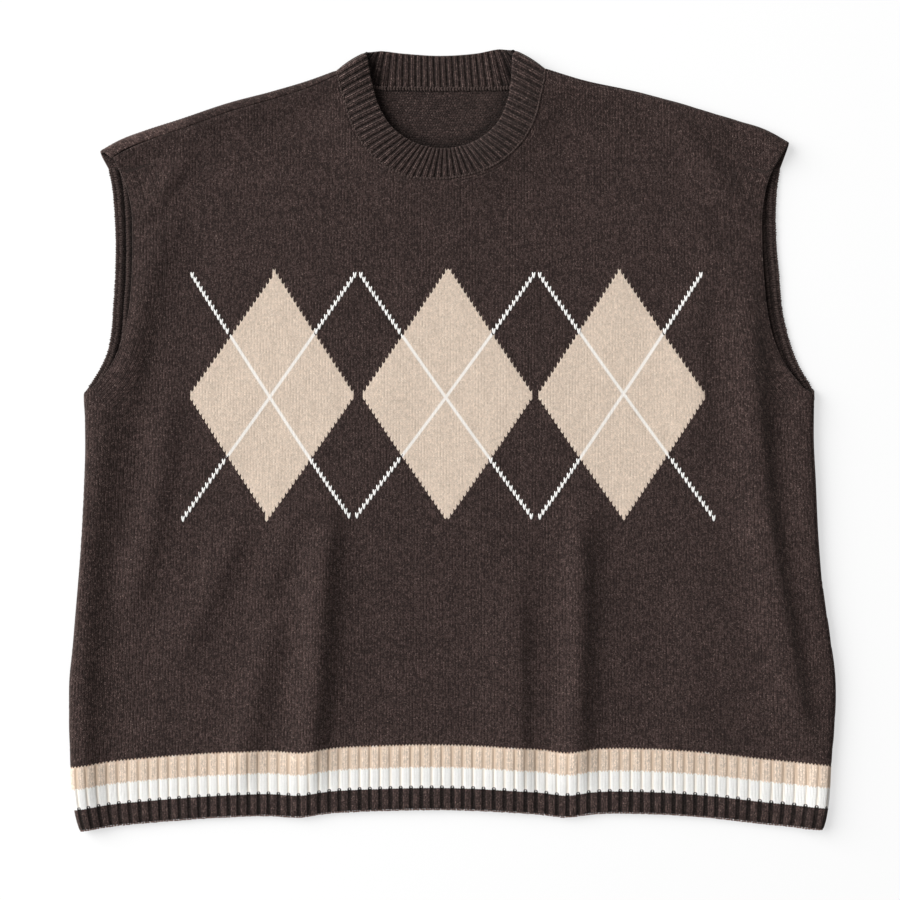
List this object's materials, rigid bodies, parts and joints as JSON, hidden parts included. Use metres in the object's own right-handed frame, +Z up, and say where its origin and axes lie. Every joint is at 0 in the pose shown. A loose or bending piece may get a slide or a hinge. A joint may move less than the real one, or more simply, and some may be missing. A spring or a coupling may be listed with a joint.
{
  "type": "knitted sweater vest",
  "caption": "Sleeveless crew-neck knitted pullover with an argyle front and a striped ribbed hem, laid flat on its back.",
  "frame": {"origin": "middle of the garment's bounding box, on the surface it lies on", "axes": "+Z up from the surface, +Y from the hem to the neck, +X to the viewer's right"},
  "size_m": [0.6202, 0.6312, 0.0133],
  "materials": {
    "knit_brown": "matte brushed wool, stocking stitch, with an argyle pattern in beige and white on the front",
    "rib_brown": "matte ribbed wool",
    "rib_stripes": "matte ribbed wool in beige, off-white and brown bands"
  },
  "bodies": {
    "root": {"back_panel": "knit_brown", "front_panel": "knit_brown", "hem_rib_back": "rib_stripes", "hem_rib_front": "rib_stripes", "neckband_back": "rib_brown", "neckband_front": "rib_brown"}
  },
  "joints": []
}
